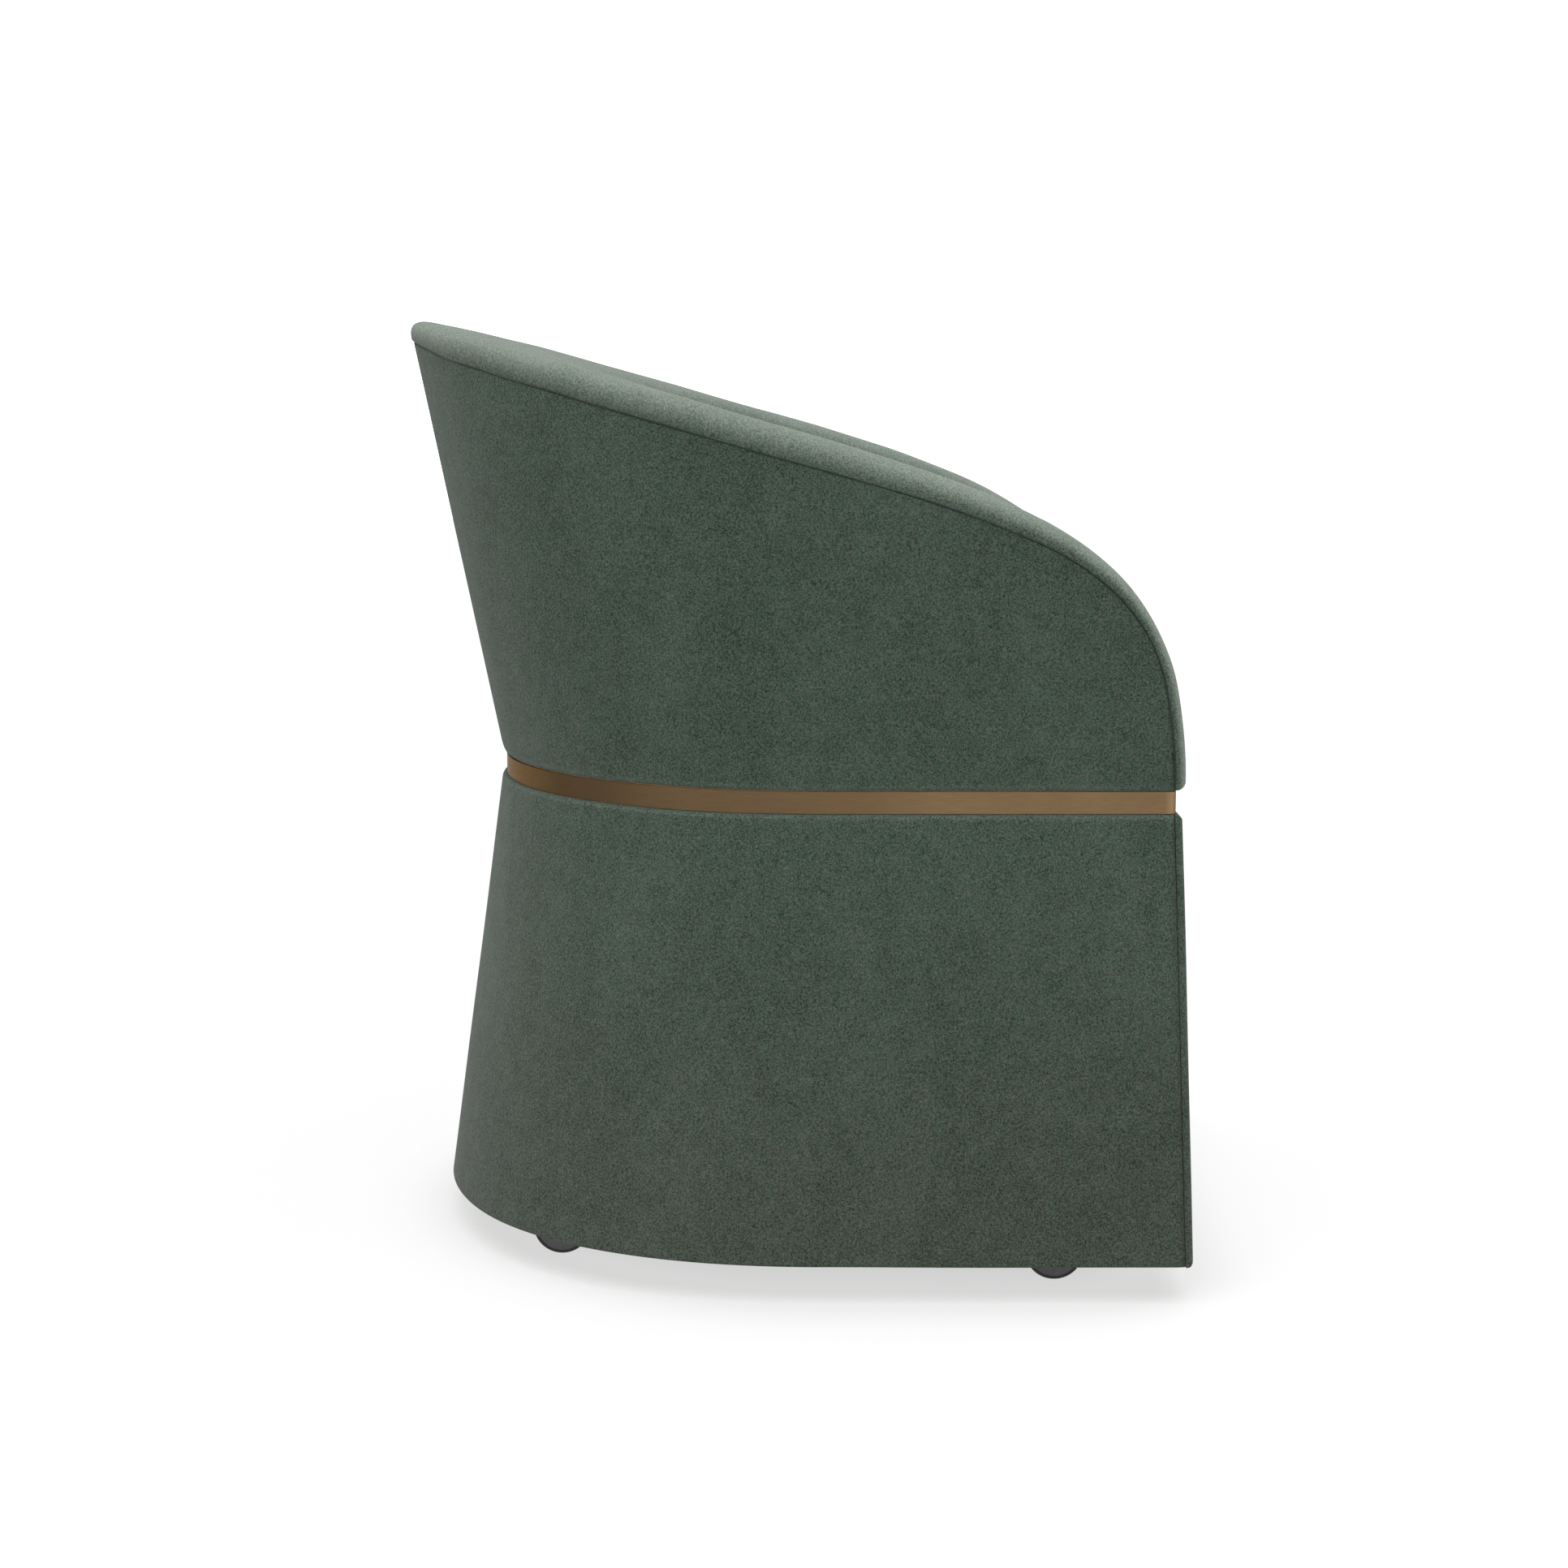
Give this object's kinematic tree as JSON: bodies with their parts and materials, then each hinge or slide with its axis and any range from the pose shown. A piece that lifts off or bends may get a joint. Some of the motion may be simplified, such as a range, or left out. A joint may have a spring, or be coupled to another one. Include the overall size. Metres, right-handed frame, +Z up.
{
  "type": "dining chair",
  "caption": "Barrel-back dining chair in velvet: flared skirted base hiding twin-wheel casters, metal waist band, tub shell with rolled sloping arms and a tight seat.",
  "frame": {"origin": "on the floor, under the middle of the chair's bounding box", "axes": "+Z up, the sitter faces -Y, +X is the sitter's left"},
  "size_m": [0.647, 0.677, 0.8137],
  "materials": {
    "velvet": "short-pile velvet",
    "underlining": "non-woven",
    "webbing": "woven strap",
    "bronze": "satin",
    "plywood": "bare plywood",
    "zinc_steel": "zinc plated",
    "caster_plastic": "moulded",
    "tread": "matte"
  },
  "bodies": {
    "chair": {"base_side_cover": "velvet", "base_front_cover": "velvet", "base_bent_panel": "plywood", "base_front_board": "plywood", "base_rib_front": "plywood", "base_rib_middle": "plywood", "base_rib_rear": "plywood", "base_rib_spine": "plywood", "base_bottom_board": "plywood", "base_top_board": "plywood", "base_underlining": "underlining", "waist_spacer_board": "plywood", "waist_band": "bronze", "shell_outside_cover": "velvet", "shell_bent_panel": "plywood", "shell_inner_panel": "plywood", "seat_rail": "plywood", "shell_top_rail": "plywood", "shell_front_post_left": "plywood", "shell_front_post_right": "plywood", "shell_side_post_left": "plywood", "shell_side_post_right": "plywood", "shell_corner_post_left": "plywood", "shell_corner_post_right": "plywood", "shell_rear_post": "plywood", "shell_top_roll": "velvet", "shell_inside_pad": "velvet", "seat_webbing": "webbing", "seat_pad": "velvet", "shell_bolts": "zinc_steel", "shell_tee_nuts": "zinc_steel", "caster_screws": "zinc_steel", "caster_front_left_plate": "zinc_steel", "caster_front_right_plate": "zinc_steel", "caster_rear_left_plate": "zinc_steel", "caster_rear_right_plate": "zinc_steel"},
    "swivel_front_left": {"caster_front_left_hood": "caster_plastic", "caster_front_left_axle": "zinc_steel"},
    "wheel_front_left_a": {"caster_front_left_wheel_a": "caster_plastic", "caster_front_left_tread_a": "tread"},
    "wheel_front_left_b": {"caster_front_left_wheel_b": "caster_plastic", "caster_front_left_tread_b": "tread"},
    "swivel_front_right": {"caster_front_right_hood": "caster_plastic", "caster_front_right_axle": "zinc_steel"},
    "wheel_front_right_a": {"caster_front_right_wheel_a": "caster_plastic", "caster_front_right_tread_a": "tread"},
    "wheel_front_right_b": {"caster_front_right_wheel_b": "caster_plastic", "caster_front_right_tread_b": "tread"},
    "swivel_rear_left": {"caster_rear_left_hood": "caster_plastic", "caster_rear_left_axle": "zinc_steel"},
    "wheel_rear_left_a": {"caster_rear_left_wheel_a": "caster_plastic", "caster_rear_left_tread_a": "tread"},
    "wheel_rear_left_b": {"caster_rear_left_wheel_b": "caster_plastic", "caster_rear_left_tread_b": "tread"},
    "swivel_rear_right": {"caster_rear_right_hood": "caster_plastic", "caster_rear_right_axle": "zinc_steel"},
    "wheel_rear_right_a": {"caster_rear_right_wheel_a": "caster_plastic", "caster_rear_right_tread_a": "tread"},
    "wheel_rear_right_b": {"caster_rear_right_wheel_b": "caster_plastic", "caster_rear_right_tread_b": "tread"}
  },
  "joints": [
    {"name": "caster_front_left_swivel", "type": "hinge", "parent": "chair", "child": "swivel_front_left", "pos_m": [0.242, -0.2459, 0.056], "axis": [0, 0, 1], "continuous": true},
    {"name": "caster_front_left_roll_a", "type": "hinge", "parent": "swivel_front_left", "child": "wheel_front_left_a", "pos_m": [0.242, -0.2279, 0.025], "axis": [1, 0, 0], "continuous": true},
    {"name": "caster_front_left_roll_b", "type": "hinge", "parent": "swivel_front_left", "child": "wheel_front_left_b", "pos_m": [0.242, -0.2279, 0.025], "axis": [1, 0, 0], "continuous": true},
    {"name": "caster_front_right_swivel", "type": "hinge", "parent": "chair", "child": "swivel_front_right", "pos_m": [-0.242, -0.2459, 0.056], "axis": [0, 0, 1], "continuous": true},
    {"name": "caster_front_right_roll_a", "type": "hinge", "parent": "swivel_front_right", "child": "wheel_front_right_a", "pos_m": [-0.242, -0.2279, 0.025], "axis": [1, 0, 0], "continuous": true},
    {"name": "caster_front_right_roll_b", "type": "hinge", "parent": "swivel_front_right", "child": "wheel_front_right_b", "pos_m": [-0.242, -0.2279, 0.025], "axis": [1, 0, 0], "continuous": true},
    {"name": "caster_rear_left_swivel", "type": "hinge", "parent": "chair", "child": "swivel_rear_left", "pos_m": [0.171, 0.1815, 0.056], "axis": [0, 0, 1], "continuous": true},
    {"name": "caster_rear_left_roll_a", "type": "hinge", "parent": "swivel_rear_left", "child": "wheel_rear_left_a", "pos_m": [0.171, 0.1995, 0.025], "axis": [1, 0, 0], "continuous": true},
    {"name": "caster_rear_left_roll_b", "type": "hinge", "parent": "swivel_rear_left", "child": "wheel_rear_left_b", "pos_m": [0.171, 0.1995, 0.025], "axis": [1, 0, 0], "continuous": true},
    {"name": "caster_rear_right_swivel", "type": "hinge", "parent": "chair", "child": "swivel_rear_right", "pos_m": [-0.171, 0.1815, 0.056], "axis": [0, 0, 1], "continuous": true},
    {"name": "caster_rear_right_roll_a", "type": "hinge", "parent": "swivel_rear_right", "child": "wheel_rear_right_a", "pos_m": [-0.171, 0.1995, 0.025], "axis": [1, 0, 0], "continuous": true},
    {"name": "caster_rear_right_roll_b", "type": "hinge", "parent": "swivel_rear_right", "child": "wheel_rear_right_b", "pos_m": [-0.171, 0.1995, 0.025], "axis": [1, 0, 0], "continuous": true}
  ]
}
